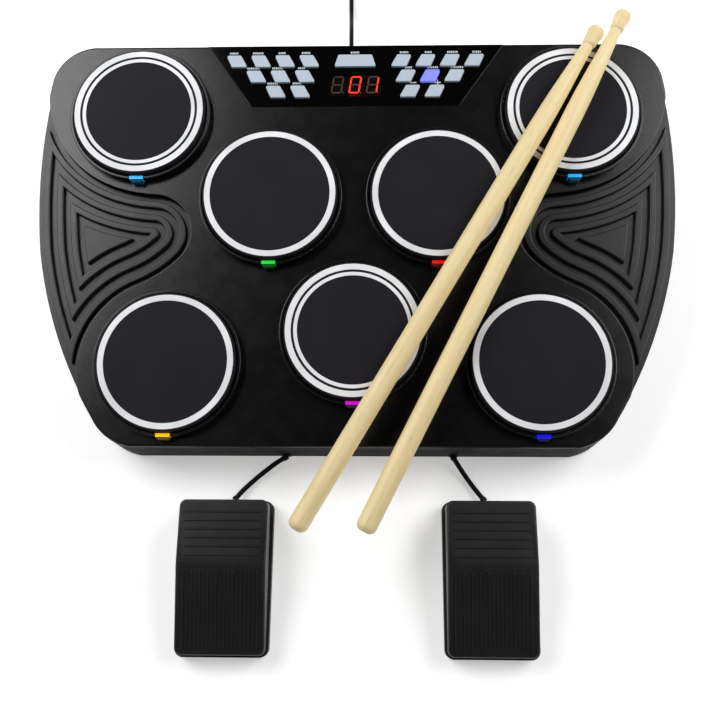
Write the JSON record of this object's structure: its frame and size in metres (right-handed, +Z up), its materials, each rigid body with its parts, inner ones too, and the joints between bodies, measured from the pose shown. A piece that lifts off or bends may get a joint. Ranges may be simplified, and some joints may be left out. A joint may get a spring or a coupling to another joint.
{
  "type": "electronic drum pad",
  "caption": "Table-top electronic drum with round rubber pads in a sloping deck, ribbed side panels, a keyed control panel, foot pedals on short cords and wooden sticks.",
  "frame": {"origin": "middle of the whole set's footprint, on the floor that the feet and pedals stand on", "axes": "+X to the player's right across the drum, +Y away from the player to the back, +Z up"},
  "size_m": [0.4534, 0.5933, 0.0927],
  "materials": {
    "deck_plastic": "fine moulded texture",
    "lower_plastic": "fine moulded texture",
    "side_plastic": "satin",
    "fascia_gloss": "polished",
    "display_glass": "smoked",
    "display_module": "matt",
    "display_lit": "lit segment",
    "display_dim": "unlit segment",
    "key_plastic": "satin",
    "key_lit": "lit from below",
    "panel_print": "screen print",
    "pad_rubber": "matt, fine texture",
    "pad_print": "printed ring",
    "light_blue": "translucent, lit",
    "light_green": "translucent, lit",
    "light_red": "translucent, lit",
    "light_amber": "translucent, lit",
    "light_magenta": "translucent, lit",
    "light_deep_blue": "translucent, lit",
    "circuit_board": "solder mask",
    "switch_plastic": "moulded",
    "foam": "open-cell foam",
    "plate_steel": "zinc plated",
    "piezo_brass": "bright",
    "screw_steel": "zinc plated",
    "foot_rubber": "matt",
    "speaker_metal": "black",
    "cord_jacket": "soft sheen",
    "cord_plastic": "moulded",
    "gland_rubber": "moulded",
    "plug_body": "moulded",
    "plug_metal": "plated",
    "pedal_plastic": "fine moulded texture",
    "pedal_base_plastic": "moulded",
    "spring_steel": "bright",
    "stick_wood": "clear lacquer"
  },
  "bodies": {
    "drum": {"top_casing": "deck_plastic", "bottom_casing": "lower_plastic", "side_panels": "side_plastic", "control_fascia": "fascia_gloss", "display_window": "display_glass", "key_board": "circuit_board", "key_switches": "switch_plastic", "digit_display": "display_module", "foam_rings": "foam", "pad_plates": "plate_steel", "piezo_sensors": "piezo_brass", "indicator_windows": "light_blue", "casing_screws": "screw_steel", "rubber_feet": "foot_rubber", "main_board": "circuit_board", "speakers": "speaker_metal", "power_jack": "switch_plastic", "power_barrel_plug": "cord_plastic", "power_cord": "cord_jacket", "power_coil": "cord_jacket", "power_plug": "plug_body", "pedal_pins": "screw_steel", "pedal_switches": "switch_plastic", "cord_glands": "gland_rubber", "left_pedal_cord": "cord_jacket", "right_pedal_cord": "cord_jacket", "pad_skin_1": "pad_rubber", "pad_skin_2": "pad_rubber", "pad_skin_3": "pad_rubber", "pad_skin_4": "pad_rubber", "pad_skin_5": "pad_rubber", "pad_skin_6": "pad_rubber", "pad_skin_7": "pad_rubber", "left_pedal_base": "pedal_base_plastic", "left_pedal_spring": "spring_steel", "right_pedal_base": "pedal_base_plastic", "right_pedal_spring": "spring_steel"},
    "left_key_1_body": {"left_key_1": "key_plastic"},
    "left_key_2_body": {"left_key_2": "key_plastic"},
    "left_key_3_body": {"left_key_3": "key_plastic"},
    "left_key_4_body": {"left_key_4": "key_plastic"},
    "left_key_5_body": {"left_key_5": "key_plastic"},
    "left_key_6_body": {"left_key_6": "key_plastic"},
    "left_key_7_body": {"left_key_7": "key_plastic"},
    "left_key_8_body": {"left_key_8": "key_plastic"},
    "left_key_9_body": {"left_key_9": "key_plastic"},
    "right_key_1_body": {"right_key_1": "key_plastic"},
    "right_key_2_body": {"right_key_2": "key_plastic"},
    "right_key_3_body": {"right_key_3": "key_plastic"},
    "right_key_4_body": {"right_key_4": "key_plastic"},
    "right_key_5_body": {"right_key_5": "key_plastic"},
    "right_key_6_body": {"right_key_6": "key_plastic"},
    "right_key_7_body": {"right_key_7": "key_plastic"},
    "right_key_8_body": {"right_key_8": "key_plastic"},
    "right_key_9_body": {"right_key_9": "key_plastic"},
    "power_key_body": {"power_key": "key_plastic"},
    "left_treadle": {"left_pedal_treadle": "pedal_plastic"},
    "right_treadle": {"right_pedal_treadle": "pedal_plastic"},
    "left_stick": {"drumstick_left": "stick_wood"},
    "right_stick": {"drumstick_right": "stick_wood"}
  },
  "joints": [
    {"name": "left_key_1_press", "type": "slide", "parent": "drum", "child": "left_key_1_body", "axis": [0, 0.1132, -0.9936], "range_m": [0, 0.001], "stiffness_N_per_m": 500, "springref_m": -0.0005},
    {"name": "left_key_2_press", "type": "slide", "parent": "drum", "child": "left_key_2_body", "axis": [0, 0.1132, -0.9936], "range_m": [0, 0.001], "stiffness_N_per_m": 500, "springref_m": -0.0005},
    {"name": "left_key_3_press", "type": "slide", "parent": "drum", "child": "left_key_3_body", "axis": [0, 0.1132, -0.9936], "range_m": [0, 0.001], "stiffness_N_per_m": 500, "springref_m": -0.0005},
    {"name": "left_key_4_press", "type": "slide", "parent": "drum", "child": "left_key_4_body", "axis": [0, 0.1132, -0.9936], "range_m": [0, 0.001], "stiffness_N_per_m": 500, "springref_m": -0.0005},
    {"name": "left_key_5_press", "type": "slide", "parent": "drum", "child": "left_key_5_body", "axis": [0, 0.1132, -0.9936], "range_m": [0, 0.001], "stiffness_N_per_m": 500, "springref_m": -0.0005},
    {"name": "left_key_6_press", "type": "slide", "parent": "drum", "child": "left_key_6_body", "axis": [0, 0.1132, -0.9936], "range_m": [0, 0.001], "stiffness_N_per_m": 500, "springref_m": -0.0005},
    {"name": "left_key_7_press", "type": "slide", "parent": "drum", "child": "left_key_7_body", "axis": [0, 0.1132, -0.9936], "range_m": [0, 0.001], "stiffness_N_per_m": 500, "springref_m": -0.0005},
    {"name": "left_key_8_press", "type": "slide", "parent": "drum", "child": "left_key_8_body", "axis": [0, 0.1132, -0.9936], "range_m": [0, 0.001], "stiffness_N_per_m": 500, "springref_m": -0.0005},
    {"name": "left_key_9_press", "type": "slide", "parent": "drum", "child": "left_key_9_body", "axis": [0, 0.1132, -0.9936], "range_m": [0, 0.001], "stiffness_N_per_m": 500, "springref_m": -0.0005},
    {"name": "right_key_1_press", "type": "slide", "parent": "drum", "child": "right_key_1_body", "axis": [0, 0.1132, -0.9936], "range_m": [0, 0.001], "stiffness_N_per_m": 500, "springref_m": -0.0005},
    {"name": "right_key_2_press", "type": "slide", "parent": "drum", "child": "right_key_2_body", "axis": [0, 0.1132, -0.9936], "range_m": [0, 0.001], "stiffness_N_per_m": 500, "springref_m": -0.0005},
    {"name": "right_key_3_press", "type": "slide", "parent": "drum", "child": "right_key_3_body", "axis": [0, 0.1132, -0.9936], "range_m": [0, 0.001], "stiffness_N_per_m": 500, "springref_m": -0.0005},
    {"name": "right_key_4_press", "type": "slide", "parent": "drum", "child": "right_key_4_body", "axis": [0, 0.1132, -0.9936], "range_m": [0, 0.001], "stiffness_N_per_m": 500, "springref_m": -0.0005},
    {"name": "right_key_5_press", "type": "slide", "parent": "drum", "child": "right_key_5_body", "axis": [0, 0.1132, -0.9936], "range_m": [0, 0.001], "stiffness_N_per_m": 500, "springref_m": -0.0005},
    {"name": "right_key_6_press", "type": "slide", "parent": "drum", "child": "right_key_6_body", "axis": [0, 0.1132, -0.9936], "range_m": [0, 0.001], "stiffness_N_per_m": 500, "springref_m": -0.0005},
    {"name": "right_key_7_press", "type": "slide", "parent": "drum", "child": "right_key_7_body", "axis": [0, 0.1132, -0.9936], "range_m": [0, 0.001], "stiffness_N_per_m": 500, "springref_m": -0.0005},
    {"name": "right_key_8_press", "type": "slide", "parent": "drum", "child": "right_key_8_body", "axis": [0, 0.1132, -0.9936], "range_m": [0, 0.001], "stiffness_N_per_m": 500, "springref_m": -0.0005},
    {"name": "right_key_9_press", "type": "slide", "parent": "drum", "child": "right_key_9_body", "axis": [0, 0.1132, -0.9936], "range_m": [0, 0.001], "stiffness_N_per_m": 500, "springref_m": -0.0005},
    {"name": "power_key_press", "type": "slide", "parent": "drum", "child": "power_key_body", "axis": [0, 0.1132, -0.9936], "range_m": [0, 0.001], "stiffness_N_per_m": 500, "springref_m": -0.0005},
    {"name": "left_pedal_press", "type": "hinge", "parent": "drum", "child": "left_treadle", "pos_m": [-0.0854, -0.2108, 0.0095], "axis": [-1, 0, 0], "range_deg": [0, 5], "stiffness_Nm_per_rad": 2, "springref_deg": -5.73, "deforming": ["left_pedal_spring"]},
    {"name": "right_pedal_press", "type": "hinge", "parent": "drum", "child": "right_treadle", "pos_m": [0.0917, -0.2108, 0.0095], "axis": [-1, 0, 0], "range_deg": [0, 5], "stiffness_Nm_per_rad": 2, "springref_deg": -5.73, "deforming": ["right_pedal_spring"]},
    {"name": "left_stick_lift", "type": "slide", "parent": "drum", "child": "left_stick", "axis": [0, -0.1132, 0.9936], "range_m": [0, 0.12]},
    {"name": "right_stick_lift", "type": "slide", "parent": "drum", "child": "right_stick", "axis": [0, -0.1132, 0.9936], "range_m": [0, 0.12]}
  ]
}
